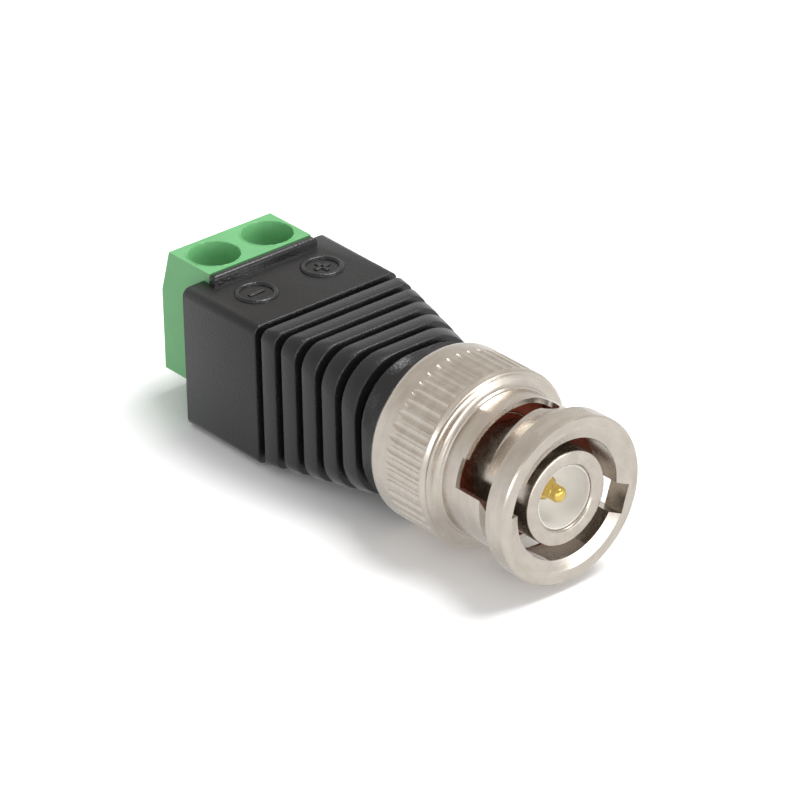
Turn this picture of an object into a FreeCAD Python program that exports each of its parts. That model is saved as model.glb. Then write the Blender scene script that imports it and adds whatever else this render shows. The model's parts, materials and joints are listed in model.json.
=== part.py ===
import FreeCAD, Part
import math
import os

import Sketcher

V = FreeCAD.Vector

# Coaxial plug to two-way screw terminal adapter.
# The plug axis is X, with the plug's mouth towards +X, and +Z is up.
# The origin is on the axis, where the free wall of the outer contact begins.

doc = FreeCAD.newDocument("screw_terminal_adapter")

# Driving dimensions in millimetres
SIZES = [
    # outer contact and its body
    ("sleeve_radius", "4.05"),
    ("sleeve_bore", "2.79"),
    ("sleeve_front", "8.23"),
    ("sleeve_bevel", "0.15"),
    ("root_radius", "4.3"),
    ("flange_radius", "5.5"),
    ("flange_front", "-1.6"),
    ("flange_thick", "1.3"),
    ("shank_radius", "4.45"),
    ("shank_rear", "-13.4"),
    ("collet_radius", "5.0"),
    ("collet_length", "1.6"),
    ("rear_bore", "3.4"),
    ("rear_bore_depth", "9.4"),
    # insulator and centre pin
    ("cup_front", "8"),
    ("cup_radius", "2.45"),
    ("cup_floor", "5.9"),
    ("insulator_rear", "-9.0"),
    ("pin_radius", "0.675"),
    ("pin_dome", "0.5"),
    ("pin_tip", "7.8"),
    ("pin_core", "0.95"),
    ("pin_rear", "-12.4"),
    ("cup_bore", "0.46"),
    ("cup_depth", "1.8"),
    # soft gasket, spring washer and thrust washer
    ("gasket_radius", "5.7"),
    ("gasket_length", "1.54"),
    ("wave_length", "1.0"),
    ("wave_gauge", "0.26"),
    ("wave_inner", "4.6"),
    ("wave_outer", "5.4"),
    ("thrust_thick", "0.5"),
    ("thrust_radius", "5.6"),
    # coupling ring
    ("nut_front", "8.8"),
    ("mate_gap", "1.15"),
    ("neck_wall", "1.1"),
    ("collar_rise", "0.9"),
    ("collar_length", "2.0"),
    ("collar_chamfer", "0.13"),
    ("mouth_lip", "0.18"),
    ("mouth_depth", "0.42"),
    ("neck_root", "0.6"),
    ("face_step", "0.35"),
    ("face_front", "0"),
    ("grip_rise", "1.35"),
    ("grip_front", "-0.45"),
    ("shoulder_radius", "1.1"),
    ("nut_rear", "-7.2"),
    ("skirt_wall", "1.13"),
    ("chamber_wall", "0.43"),
    ("chamber_front", "2.85"),
    ("inner_flange", "1.3"),
    ("ring_seat", "-4.42"),
    ("flute_count", "48"),
    ("flute_radius", "0.45"),
    ("flute_depth", "0.14"),
    ("flute_front", "-0.6"),
    ("flute_rear", "-4.8"),
    ("entry_angle", "161"),
    ("entry_width", "2.5"),
    ("slot_floor", "0.22"),
    ("window_rear", "2.5"),
    ("entry_rear", "2.2"),
    ("entry_span", "23"),
    ("window_angle", "119"),
    ("window_half", "3.3"),
    ("lock_angle", "73.5"),
    ("lock_radius", "1.215"),
    ("lock_neck", "1.07"),
    ("lock_reach", "2.1"),
    ("ramp_start", "5.2"),
    ("ramp_end", "4.37"),
    # housing
    ("house_rear", "-30.5"),
    ("house_bottom", "-6.6"),
    ("block_front", "-20.88"),
    ("groove_pitch", "2.236"),
    ("groove_width", "0.62"),
    ("groove_depth", "0.75"),
    ("house_nose", "-6.1"),
    ("nose_gap", "0.22"),
    ("nose_start", "-8.7"),
    ("bar_rear", "-29.75"),
    ("bar_width", "0.75"),
    ("bar_top", "7.08"),
    ("pocket_front", "-26.5"),
    ("pocket_top", "4.65"),
    ("cavity_front", "-15.2"),
    ("cavity_half_y", "4.75"),
    ("cavity_half_z", "3.7"),
    # terminal body
    ("block_half", "5.39"),
    ("block_top", "7.08"),
    ("block_base", "-4.2"),
    ("block_rear", "-36.32"),
    ("block_kink", "3.17"),
    ("block_top_rear", "-35.18"),
    ("tongue_front", "-26.6"),
    ("tongue_top", "4.6"),
    ("pole_shift", "0.121"),
    ("well_centre", "-32.38"),
    ("well_radius", "2.16"),
    ("side_wall", "0.645"),
    ("chamber_base", "-3.72"),
    ("chamber_top", "3.15"),
    ("chamber_deep", "-29.6"),
    ("rear_wall", "1.1"),
    ("entry_top", "1.65"),
    # clamp screws, cages and contact bars
    ("head_radius", "1.9"),
    ("head_base", "3.22"),
    ("head_top", "4.6"),
    ("slot_width", "0.6"),
    ("slot_depth", "0.8"),
    ("screw_tip", "0.45"),
    ("cage_length", "4.4"),
    ("cage_gap", "0.17"),
    ("cage_base", "-3.62"),
    ("cage_top", "1.5"),
    ("cage_wall", "0.55"),
    ("cage_roof", "1.0"),
    ("strip_gap", "0.18"),
    ("strip_top", "0.4"),
    ("strip_thick", "0.8"),
    ("strip_rear", "-35.1"),
    ("strip_front", "-25.6"),
    ("tail_half", "0.5"),
    ("tail_front", "-23.4"),
    ("wire_radius", "0.42"),
    ("bead_radius", "0.8"),
    ("collar_mid", "4.2"),
    # clearances
    ("seat_gap", "0.03"),
    ("run_gap", "0.08"),
    ("thread_gap", "0.05"),
]

# Housing sections: position, half width, top, bottom and corner radius
SECTIONS = [
    ("rear", "7.66", "6.22", "0.75"),
    ("one", "7.56", "6.22", "0.75"),
    ("two", "7.32", "6.24", "1.2"),
    ("three", "7.03", "6.27", "1.95"),
    ("four", "6.8", "6.32", "2.8"),
    ("five", "6.58", "6.36", "3.75"),
    ("six", "6.4", "6.38", "4.9"),
]

sheet = doc.addObject("Spreadsheet::Sheet", "Sizes")
VALUES = {}


def store(row, name, text):
    sheet.set("A%d" % row, name)
    sheet.set("B%d" % row, text)
    sheet.setAlias("B%d" % row, name)
    VALUES[name] = float(text)


row = 1
for name, text in SIZES:
    store(row, name, text)
    row += 1
for name, half, top, corner in SECTIONS:
    store(row, "half_" + name, half)
    store(row + 1, "top_" + name, top)
    store(row + 2, "corner_" + name, corner)
    row += 3
doc.recompute()

# Sizes that follow from others. The ring is built outwards from the outer contact, and each pole
# inwards from the terminal body's width.
NUT_BORE = "sleeve_radius + mate_gap"
NECK = NUT_BORE + " + neck_wall"
COLLAR = NECK + " + collar_rise"
MOUTH = NECK + " - mouth_lip"
GRIP = NECK + " + grip_rise"
FACE = GRIP + " - face_step"
SKIRT_BORE = GRIP + " - skirt_wall"
CHAMBER = NECK + " - chamber_wall"
SLOT_FLOOR = NECK + " - slot_floor"
CUT_FROM = NUT_BORE + " - 0.3"
CUT_TO = NECK + " + 0.6"
COLLAR_REAR = "nut_front - collar_length"
NOSE = SKIRT_BORE + " - nose_gap"
POLE = "block_half/2 + pole_shift"
POLE_MINUS = "0 - block_half/2 - pole_shift"
ROOM = "block_half/2 - side_wall"
CAGE = ROOM + " - cage_gap"
CAGE_INNER = CAGE + " - cage_wall"
THREAD = CAGE_INNER + " - run_gap"
STRIP = CAGE_INNER + " - strip_gap"


# A size is written as words and numbers joined by + and -, such as "nut_front - collar_length".
def number(term):
    if "/" in term:
        top, below = term.split("/")
        return number(top) / float(below)
    if term in VALUES:
        return float(sheet.get(term))
    return float(term)


def value(size):
    total = 0.0
    sign = 1.0
    for term in size.split():
        if term == "-":
            sign = -1.0
        elif term == "+":
            sign = 1.0
        else:
            total += sign * number(term)
            sign = 1.0
    return total


def bound(size):
    out = []
    for term in size.split():
        word = term.split("/")[0]
        out.append("Sizes." + term if word in VALUES else term)
    return " ".join(out)


def body(label):
    made = doc.addObject("PartDesign::Body", label)
    made.Label = label
    return made


def plane(owner, role):
    for item in owner.Origin.OriginFeatures:
        if item.Role == role:
            return item
    raise ValueError("no plane " + role)


def sketch(owner, role, name, offset=None):
    made = owner.newObject("Sketcher::SketchObject", name)
    made.AttachmentSupport = [(plane(owner, role), "")]
    made.MapMode = "FlatFace"
    if offset:
        made.AttachmentOffset = FreeCAD.Placement(V(0, 0, value(offset)), FreeCAD.Rotation())
        made.setExpression("AttachmentOffset.Base.z", bound(offset))
    return made


def pin_point(sk, geo, pos, u, v, tag):
    a = sk.addConstraint(Sketcher.Constraint("DistanceX", -1, 1, geo, pos, value(u)))
    sk.renameConstraint(a, "u" + tag)
    sk.setExpression("Constraints.u" + tag, bound(u))
    b = sk.addConstraint(Sketcher.Constraint("DistanceY", -1, 1, geo, pos, value(v)))
    sk.renameConstraint(b, "v" + tag)
    sk.setExpression("Constraints.v" + tag, bound(v))


# A closed outline of straight edges and arcs. Each corner is a pair of sizes; an edge that starts
# at a corner with a third entry is an arc with the centre given there, True for anticlockwise.
def outline(sk, corners, tag="p"):
    count = len(corners)
    ids = []
    for i in range(count):
        a = corners[i]
        b = corners[(i + 1) % count]
        p = V(value(a[0]), value(a[1]), 0)
        q = V(value(b[0]), value(b[1]), 0)
        if len(a) > 2:
            c = V(value(a[2][0]), value(a[2][1]), 0)
            r = (p - c).Length
            t0 = math.atan2(p.y - c.y, p.x - c.x)
            t1 = math.atan2(q.y - c.y, q.x - c.x)
            ccw = a[2][2]
            circle = Part.Circle(c, V(0, 0, 1), r)
            if ccw:
                ids.append((sk.addGeometry(Part.ArcOfCircle(circle, t0, t1), False), 1, 2))
            else:
                ids.append((sk.addGeometry(Part.ArcOfCircle(circle, t1, t0), False), 2, 1))
        else:
            ids.append((sk.addGeometry(Part.LineSegment(p, q), False), 1, 2))
    for i in range(count):
        here = ids[i]
        back = ids[i - 1]
        sk.addConstraint(Sketcher.Constraint("Coincident", back[0], back[2], here[0], here[1]))
    for i in range(count):
        pin_point(sk, ids[i][0], ids[i][1], corners[i][0], corners[i][1], tag + str(i))
        if len(corners[i]) > 2:
            here = corners[i]
            following = corners[(i + 1) % count]
            across = abs(value(following[0]) - value(here[0]))
            along = abs(value(following[1]) - value(here[1]))
            kind, size = ("DistanceY", here[2][1]) if across > along else ("DistanceX", here[2][0])
            c = sk.addConstraint(Sketcher.Constraint(kind, -1, 1, ids[i][0], 3, value(size)))
            sk.renameConstraint(c, "m" + tag + str(i))
            sk.setExpression("Constraints.m" + tag + str(i), bound(size))


def box(sk, low_u, low_v, high_u, high_v, tag="b"):
    outline(sk, [(low_u, low_v), (high_u, low_v), (high_u, high_v), (low_u, high_v)], tag)


def ring(sk, u, v, radius, tag="c"):
    geo = sk.addGeometry(Part.Circle(V(value(u), value(v), 0), V(0, 0, 1), value(radius)), False)
    pin_point(sk, geo, 3, u, v, tag)
    c = sk.addConstraint(Sketcher.Constraint("Radius", geo, value(radius)))
    sk.renameConstraint(c, "r" + tag)
    sk.setExpression("Constraints.r" + tag, bound(radius))


# A rectangle with rounded corners, symmetric left to right
def rounded(sk, half, low, high, corner, tag="q"):
    w = value(half)
    lo = value(low)
    hi = value(high)
    r = value(corner)
    spots = [(w - r, lo + r, -90), (w - r, hi - r, 0), (-w + r, hi - r, 90), (-w + r, lo + r, 180)]
    arcs = []
    for u, v, a in spots:
        circle = Part.Circle(V(u, v, 0), V(0, 0, 1), r)
        arc = Part.ArcOfCircle(circle, math.radians(a), math.radians(a + 90))
        arcs.append(sk.addGeometry(arc, False))
    ends = [(V(w, lo + r, 0), V(w, hi - r, 0)), (V(w - r, hi, 0), V(-w + r, hi, 0)),
            (V(-w, hi - r, 0), V(-w, lo + r, 0)), (V(-w + r, lo, 0), V(w - r, lo, 0))]
    lines = []
    for p, q in ends:
        lines.append(sk.addGeometry(Part.LineSegment(p, q), False))
    for i in range(4):
        sk.addConstraint(Sketcher.Constraint("Tangent", arcs[i], 2, lines[i], 1))
        sk.addConstraint(Sketcher.Constraint("Tangent", lines[i], 2, arcs[(i + 1) % 4], 1))
    for i in range(3):
        sk.addConstraint(Sketcher.Constraint("Equal", arcs[0], arcs[i + 1]))
    for i in (0, 2):
        sk.addConstraint(Sketcher.Constraint("Vertical", lines[i]))
        sk.addConstraint(Sketcher.Constraint("Horizontal", lines[i + 1]))
    rows = [("Radius", (arcs[0],), corner, r),
            ("DistanceX", (-1, 1, lines[0], 1), half, w),
            ("DistanceX", (-1, 1, lines[2], 1), "0 - " + half, -w),
            ("DistanceY", (-1, 1, lines[1], 1), high, hi),
            ("DistanceY", (-1, 1, lines[3], 1), low, lo)]
    for i in range(5):
        kind, where, size, now = rows[i]
        c = sk.addConstraint(Sketcher.Constraint(kind, *where, now))
        sk.renameConstraint(c, tag + str(i))
        sk.setExpression("Constraints." + tag + str(i), bound(size))


def turned(owner, sk, name):
    made = owner.newObject("PartDesign::Revolution", name)
    made.Profile = sk
    made.ReferenceAxis = (sk, ["H_Axis"])
    made.Angle = 360
    sk.Visibility = False
    return made


def pad(owner, sk, name, length, middle=False, back=False):
    made = owner.newObject("PartDesign::Pad", name)
    made.Profile = sk
    made.Length = value(length)
    made.setExpression("Length", bound(length))
    made.Midplane = middle
    made.Reversed = back
    sk.Visibility = False
    return made


def pocket(owner, sk, name, length, middle=False, back=False):
    doc.recompute()
    before = owner.Shape.Volume
    made = owner.newObject("PartDesign::Pocket", name)
    made.Profile = sk
    made.Length = value(length)
    made.setExpression("Length", bound(length))
    made.Midplane = middle
    made.Reversed = back
    sk.Visibility = False
    doc.recompute()
    if not made.Shape.Volume < before - 1e-6:
        raise ValueError(name + " removes nothing")
    return made


parts = []

# Plug body: outer contact, gasket seat, flange, shank and a collet at the rear, turned in one
plug = body("plug_body")
sk = sketch(plug, "XZ_Plane", "plug_profile")
outline(sk, [
    ("sleeve_front", "sleeve_bore + 0.08"),
    ("sleeve_front", "sleeve_radius - sleeve_bevel"),
    ("sleeve_front - sleeve_bevel", "sleeve_radius"),
    ("0", "sleeve_radius"),
    ("0", "root_radius"),
    ("flange_front", "root_radius"),
    ("flange_front", "flange_radius"),
    ("flange_front - flange_thick", "flange_radius"),
    ("flange_front - flange_thick", "shank_radius"),
    ("shank_rear + collet_length", "shank_radius"),
    ("shank_rear + collet_length", "collet_radius"),
    ("shank_rear", "collet_radius"),
    ("shank_rear", "rear_bore"),
    ("shank_rear + rear_bore_depth", "rear_bore"),
    ("shank_rear + rear_bore_depth", "sleeve_bore"),
    ("sleeve_front - 0.08", "sleeve_bore"),
])
turned(plug, sk, "plug_turning")
parts.append(plug)

# Insulator: a turned core with a shallow cup round the pin and a shoulder behind
insulator = body("insulator")
sk = sketch(insulator, "XZ_Plane", "insulator_profile")
outline(sk, [
    ("cup_front", "cup_radius"),
    ("cup_front", "sleeve_bore - seat_gap"),
    ("shank_rear + rear_bore_depth + 0.05", "sleeve_bore - seat_gap"),
    ("shank_rear + rear_bore_depth - seat_gap", "rear_bore - seat_gap"),
    ("insulator_rear", "rear_bore - seat_gap"),
    ("insulator_rear", "pin_core + seat_gap"),
    ("cup_floor", "pin_core + seat_gap"),
    ("cup_floor", "cup_radius"),
])
turned(insulator, sk, "insulator_turning")
parts.append(insulator)

# Centre pin: slim front with a domed tip, thicker core and a solder cup at the rear
pin = body("centre_pin")
sk = sketch(pin, "XZ_Plane", "pin_profile")
outline(sk, [
    ("pin_tip", "0"),
    ("pin_tip", "pin_radius - pin_dome", ("pin_tip - pin_dome", "pin_radius - pin_dome", True)),
    ("pin_tip - pin_dome", "pin_radius"),
    ("cup_floor", "pin_radius"),
    ("cup_floor - 0.02", "pin_core"),
    ("pin_rear", "pin_core"),
    ("pin_rear", "cup_bore"),
    ("pin_rear + cup_depth", "cup_bore"),
    ("pin_rear + cup_depth + 0.25", "0"),
])
turned(pin, sk, "pin_turning")
parts.append(pin)

# Gasket: a soft ring round the root of the outer contact, against the flange
gasket = body("gasket")
sk = sketch(gasket, "XZ_Plane", "gasket_profile")
box(sk, "flange_front + seat_gap", "root_radius + seat_gap",
    "flange_front + seat_gap + gasket_length", "gasket_radius")
turned(gasket, sk, "gasket_turning")
parts.append(gasket)

# Thrust washer behind the wave washer
thrust = body("thrust_washer")
sk = sketch(thrust, "XZ_Plane", "thrust_profile")
box(sk, "flange_front - flange_thick - wave_length - thrust_thick", "shank_radius + run_gap",
    "flange_front - flange_thick - wave_length", "thrust_radius")
turned(thrust, sk, "thrust_turning")
parts.append(thrust)

# Wave washer: a flat ring waved three times round, between the flange and the thrust washer
wave = doc.addObject("Part::Feature", "wave_washer")
wave.Label = "wave_washer"
gauge = value("wave_gauge")
inner = value("wave_inner")
outer = value("wave_outer")
swing = (value("wave_length") - gauge) / 2 - value("seat_gap")
middle = value("flange_front - flange_thick - wave_length/2")
STEPS = 36


def wave_ring(radius, shift):
    points = []
    for i in range(STEPS):
        t = 2 * math.pi * i / STEPS
        x = middle + shift + swing * math.cos(3 * t)
        points.append(V(x, radius * math.cos(t), radius * math.sin(t)))
    curve = Part.BSplineCurve()
    curve.interpolate(Points=points, PeriodicFlag=True)
    return Part.Wire([curve.toShape()])


low_in = wave_ring(inner, -gauge / 2)
low_out = wave_ring(outer, -gauge / 2)
high_in = wave_ring(inner, gauge / 2)
high_out = wave_ring(outer, gauge / 2)
faces = []
for first, second in ((low_in, low_out), (low_out, high_out), (high_out, high_in), (high_in, low_in)):
    faces += Part.makeRuledSurface(first, second).Faces
shell = Part.makeShell(faces)
shell.sewShape()
wave_solid = Part.makeSolid(Part.Shell(shell.Faces))
if wave_solid.Volume < 0:
    wave_solid.reverse()
wave.Shape = wave_solid
parts.append(wave)

# Coupling ring: collar with a coned mouth, neck with two stud windows, fluted grip, inner flange
nut = body("coupling_ring")
sk = sketch(nut, "XZ_Plane", "ring_profile")
outline(sk, [
    ("nut_front", MOUTH),
    ("nut_front", COLLAR + " - collar_chamfer"),
    ("nut_front - collar_chamfer", COLLAR),
    (COLLAR_REAR + " + collar_chamfer/2", COLLAR),
    (COLLAR_REAR, COLLAR + " - collar_chamfer/2"),
    (COLLAR_REAR, NECK),
    ("neck_root", NECK),
    ("neck_root - 0.4", NECK + " + 0.32"),
    ("face_front", FACE),
    ("grip_front", GRIP),
    ("nut_rear + shoulder_radius", GRIP,
     ("nut_rear + shoulder_radius", GRIP + " - shoulder_radius", True)),
    ("nut_rear", GRIP + " - shoulder_radius"),
    ("nut_rear", SKIRT_BORE),
    ("ring_seat - inner_flange", SKIRT_BORE),
    ("ring_seat - inner_flange", "shank_radius + run_gap"),
    ("ring_seat", "shank_radius + run_gap"),
    ("ring_seat", CHAMBER),
    ("chamber_front", CHAMBER),
    ("chamber_front", NUT_BORE),
    ("nut_front - mouth_depth", NUT_BORE),
])
turned(nut, sk, "ring_turning")


# A sketch turned about the ring's axis to an angle measured from +Y towards +Z
def angled(owner, role, name, angle):
    made = sketch(owner, role, name)
    turn = FreeCAD.Rotation(V(1, 0, 0), value(angle) - 90)
    made.AttachmentOffset = FreeCAD.Placement(V(0, 0, 0), turn)
    made.setExpression("AttachmentOffset.Rotation.Angle", bound(angle) + " - 90")
    return made


def around(owner, name, originals, count):
    made = owner.newObject("PartDesign::PolarPattern", name)
    made.Originals = originals
    made.Axis = (plane(owner, "X_Axis"), [""])
    made.Angle = 360
    made.Occurrences = int(value(count))
    if count in VALUES:
        made.setExpression("Occurrences", bound(count))
    owner.Tip = made
    return made


# One flute of the grip, then the full circle of them
sk = sketch(nut, "YZ_Plane", "flute_outline", "flute_rear")
ring(sk, "0", GRIP + " + flute_radius - flute_depth", "flute_radius")
flute = pocket(nut, sk, "flute", "flute_front - flute_rear", back=True)
around(nut, "flutes", [flute], "flute_count")

# One stud path: a slot from the mouth, a gate, a window with a sloping front edge, a round lock end
sk = angled(nut, "XZ_Plane", "slot_outline", "entry_angle")
box(sk, COLLAR_REAR + " - 0.5", CUT_FROM, "nut_front + 0.5", SLOT_FLOOR)
slot = pocket(nut, sk, "slot", "entry_width", middle=True)
sk = angled(nut, "XZ_Plane", "gate_outline", "entry_angle")
box(sk, "entry_rear", CUT_FROM, COLLAR_REAR, CUT_TO)
gate = nut.newObject("PartDesign::Groove", "gate")
gate.Profile = sk
gate.ReferenceAxis = (sk, ["H_Axis"])
gate.Angle = value("entry_span")
gate.setExpression("Angle", bound("entry_span"))
gate.Midplane = True
sk.Visibility = False
sk = angled(nut, "XY_Plane", "window_outline", "window_angle")
outline(sk, [
    ("window_rear", "0 - window_half"),
    ("ramp_start", "0 - window_half"),
    ("ramp_end", "window_half"),
    ("window_rear", "window_half"),
])
window = pocket(nut, sk, "window", CUT_TO, back=True)
sk = angled(nut, "XY_Plane", "lock_outline", "lock_angle")
outline(sk, [
    ("window_rear", "0", ("window_rear + lock_radius", "0", False)),
    ("window_rear + lock_radius + lock_radius", "0", ("window_rear + lock_radius", "0", False)),
    ("ramp_end", "0 - lock_neck"),
    ("ramp_end", "0 - lock_reach"),
    ("window_rear", "0 - lock_reach"),
])
lock = pocket(nut, sk, "lock", CUT_TO, back=True)
around(nut, "stud_paths", [slot, gate, window, lock], "2")
parts.append(nut)

# Housing: one moulding, lofted from a rounded block to a round neck, with six grooves round it
housing = body("housing")
stations = ["house_rear", "block_front"]
for i in range(1, 6):
    stations.append("block_front" + " + groove_pitch" * i)
profiles = []
for i in range(len(SECTIONS)):
    name = SECTIONS[i][0]
    sk = sketch(housing, "YZ_Plane", "section_" + name, stations[i])
    low = "house_bottom" if i < 2 else "0 - top_" + name + " - 0.1"
    rounded(sk, "half_" + name, low, "top_" + name, "corner_" + name)
    profiles.append(sk)
loft = housing.newObject("PartDesign::AdditiveLoft", "shell_loft")
loft.Profile = profiles[0]
loft.Sections = profiles[1:]
loft.Ruled = True
for sk in profiles:
    sk.Visibility = False

# Neck that enters the coupling ring
last = "block_front" + " + groove_pitch" * 5
sk = sketch(housing, "YZ_Plane", "nose_circle", last + " - 0.3")
ring(sk, "0", "0", NOSE)
pad(housing, sk, "nose", "house_nose - block_front" + " - groove_pitch" * 5 + " + 0.3")

# Bar across the top in front of the terminal body, with a round top edge
sk = sketch(housing, "XZ_Plane", "bar_profile")
outline(sk, [
    ("bar_rear", "top_rear - 0.6"),
    ("bar_rear + bar_width", "top_rear - 0.6"),
    ("bar_rear + bar_width", "bar_top - bar_width/2",
     ("bar_rear + bar_width/2", "bar_top - bar_width/2", True)),
    ("bar_rear", "bar_top - bar_width/2"),
])
pad(housing, sk, "bar", "block_half + block_half + seat_gap + seat_gap", middle=True)

# Grooves
for i in range(6):
    centre = "block_front" + " + groove_pitch" * i
    name = SECTIONS[i + 1][0]
    sk = sketch(housing, "YZ_Plane", "groove_" + name, centre + " - groove_width/2")
    low = "house_bottom" if i < 1 else "0 - top_" + name + " - 0.1"
    rounded(sk, "half_" + name + " - groove_depth", low + " + groove_depth",
            "top_" + name + " - groove_depth", "corner_" + name + " - 0.3")
    ring(sk, "0", "0", "half_rear + 5")
    pocket(housing, sk, "groove_cut_" + name, "groove_width", back=True)

# Seat of the terminal body at the rear, open at the top behind the bar
sk = sketch(housing, "YZ_Plane", "notch_outline", "house_rear")
box(sk, "0 - block_half - seat_gap", "block_base - seat_gap", "block_half + seat_gap", "bar_top + 3")
pocket(housing, sk, "notch", "bar_rear - house_rear", back=True)
sk = sketch(housing, "YZ_Plane", "seat_outline", "house_rear")
box(sk, "0 - block_half - seat_gap", "block_base - seat_gap", "block_half + seat_gap", "pocket_top")
pocket(housing, sk, "seat", "pocket_front - house_rear", back=True)

# Hollow for the internal conductors, then the bore for the shank
sk = sketch(housing, "YZ_Plane", "hollow_outline", "pocket_front - 0.1")
box(sk, "0 - cavity_half_y", "0 - cavity_half_z", "cavity_half_y", "cavity_half_z")
pocket(housing, sk, "hollow", "cavity_front - pocket_front + 0.1", back=True)
sk = sketch(housing, "YZ_Plane", "collet_outline", "cavity_front - 0.1")
ring(sk, "0", "0", "collet_radius + seat_gap")
pocket(housing, sk, "collet_bore", "shank_rear + collet_length + seat_gap - cavity_front + 0.1", back=True)
sk = sketch(housing, "YZ_Plane", "shank_outline", "shank_rear + collet_length")
ring(sk, "0", "0", "shank_radius + seat_gap")
pocket(housing, sk, "shank_bore", "house_nose - shank_rear - collet_length + 0.5", back=True)
parts.append(housing)

# Terminal body: one moulding with a slanted upper rear, two screw wells and two wire entries
block = body("terminal_body")
sk = sketch(block, "XZ_Plane", "block_profile")
outline(sk, [
    ("block_rear", "block_base"),
    ("tongue_front", "block_base"),
    ("tongue_front", "tongue_top"),
    ("bar_rear - seat_gap", "tongue_top"),
    ("bar_rear - seat_gap", "block_top"),
    ("block_top_rear", "block_top"),
    ("block_rear", "block_kink"),
])
pad(block, sk, "block_pad", "block_half + block_half", middle=True)
INNER_WALL = "pole_shift + side_wall"
OUTER_WALL = "block_half - side_wall + pole_shift"
ROOMS = (("l", INNER_WALL, OUTER_WALL),
         ("k", "0 - block_half + side_wall - pole_shift", "0 - pole_shift - side_wall"))
sk = sketch(block, "XY_Plane", "wells", "chamber_top - 0.1")
ring(sk, "well_centre", POLE, "well_radius", "l")
ring(sk, "well_centre", POLE_MINUS, "well_radius", "k")
pocket(block, sk, "well_cut", "block_top - chamber_top + 1", back=True)
sk = sketch(block, "YZ_Plane", "entries", "block_rear - 0.5")
for tag, low, high in ROOMS:
    box(sk, low, "chamber_base", high, "entry_top", tag)
pocket(block, sk, "entry_cut", "rear_wall + 0.6", back=True)
sk = sketch(block, "YZ_Plane", "chambers", "block_rear + rear_wall")
for tag, low, high in ROOMS:
    box(sk, low, "chamber_base", high, "chamber_top", tag)
pocket(block, sk, "chamber_cut", "chamber_deep - block_rear - rear_wall", back=True)
sk = sketch(block, "YZ_Plane", "strip_slots", "chamber_deep - 0.1")
for tag, middle in (("l", POLE), ("k", POLE_MINUS)):
    low = middle + " - block_half/2 + side_wall + cage_gap + cage_wall + strip_gap - seat_gap"
    high = middle + " + block_half/2 - side_wall - cage_gap - cage_wall - strip_gap + seat_gap"
    box(sk, low, "strip_top - strip_thick - seat_gap", high, "strip_top + seat_gap", tag)
pocket(block, sk, "strip_slot_cut", "tongue_front - chamber_deep + 0.5", back=True)
parts.append(block)

# Clamp screws, cages and contact strips, one set for each pole
for pole, off in (("neg", POLE_MINUS), ("pos", POLE)):

    screw = body("clamp_screw_" + pole)
    sk = sketch(screw, "XZ_Plane", "screw_profile_" + pole)
    outline(sk, [
        ("0", "screw_tip"),
        (THREAD + " - 0.3", "screw_tip"),
        (THREAD, "screw_tip + 0.3"),
        (THREAD, "head_base"),
        ("head_radius", "head_base"),
        ("head_radius", "head_top - 0.15"),
        ("head_radius - 0.15", "head_top"),
        ("0", "head_top"),
    ])
    made = screw.newObject("PartDesign::Revolution", "screw_turning_" + pole)
    made.Profile = sk
    made.ReferenceAxis = (sk, ["V_Axis"])
    made.Angle = 360
    sk.Visibility = False
    sk = sketch(screw, "XY_Plane", "screw_slot_" + pole, "head_top - slot_depth")
    box(sk, "0 - head_radius - 1", "0 - slot_width/2", "head_radius + 1", "slot_width/2")
    pocket(screw, sk, "slot_cut_" + pole, "slot_depth + 1", back=True)
    screw.Placement = FreeCAD.Placement(V(value("well_centre"), value(off), 0), FreeCAD.Rotation())
    screw.setExpression("Placement.Base.x", bound("well_centre"))
    screw.setExpression("Placement.Base.y", bound(off))
    parts.append(screw)

    cage = body("clamp_cage_" + pole)
    sk = sketch(cage, "YZ_Plane", "cage_profile_" + pole)
    box(sk, "0 - block_half/2 + side_wall + cage_gap", "cage_base", CAGE, "cage_top", "o")
    box(sk, "0 - block_half/2 + side_wall + cage_gap + cage_wall", "cage_base + cage_wall",
        CAGE_INNER, "cage_top - cage_roof", "i")
    pad(cage, sk, "cage_pad_" + pole, "cage_length", middle=True)
    sk = sketch(cage, "XY_Plane", "cage_hole_" + pole, "cage_top - cage_roof - 0.1")
    ring(sk, "0", "0", THREAD + " + thread_gap")
    pocket(cage, sk, "cage_thread_" + pole, "cage_roof + 0.2", back=True)
    cage.Placement = FreeCAD.Placement(V(value("well_centre"), value(off), 0), FreeCAD.Rotation())
    cage.setExpression("Placement.Base.x", bound("well_centre"))
    cage.setExpression("Placement.Base.y", bound(off))
    parts.append(cage)

    strip = body("contact_strip_" + pole)
    half_back = "0 - block_half/2 + side_wall + cage_gap + cage_wall + strip_gap"
    sk = sketch(strip, "XY_Plane", "strip_outline_" + pole, "strip_top")
    outline(sk, [
        ("strip_rear", half_back),
        ("strip_front", half_back),
        ("strip_front", "0 - tail_half"),
        ("tail_front", "0 - tail_half"),
        ("tail_front", "tail_half"),
        ("strip_front", "tail_half"),
        ("strip_front", STRIP),
        ("strip_rear", STRIP),
    ])
    pad(strip, sk, "strip_pad_" + pole, "strip_thick", back=True)
    strip.Placement = FreeCAD.Placement(V(0, value(off), 0), FreeCAD.Rotation())
    strip.setExpression("Placement.Base.y", bound(off))
    parts.append(strip)


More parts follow.
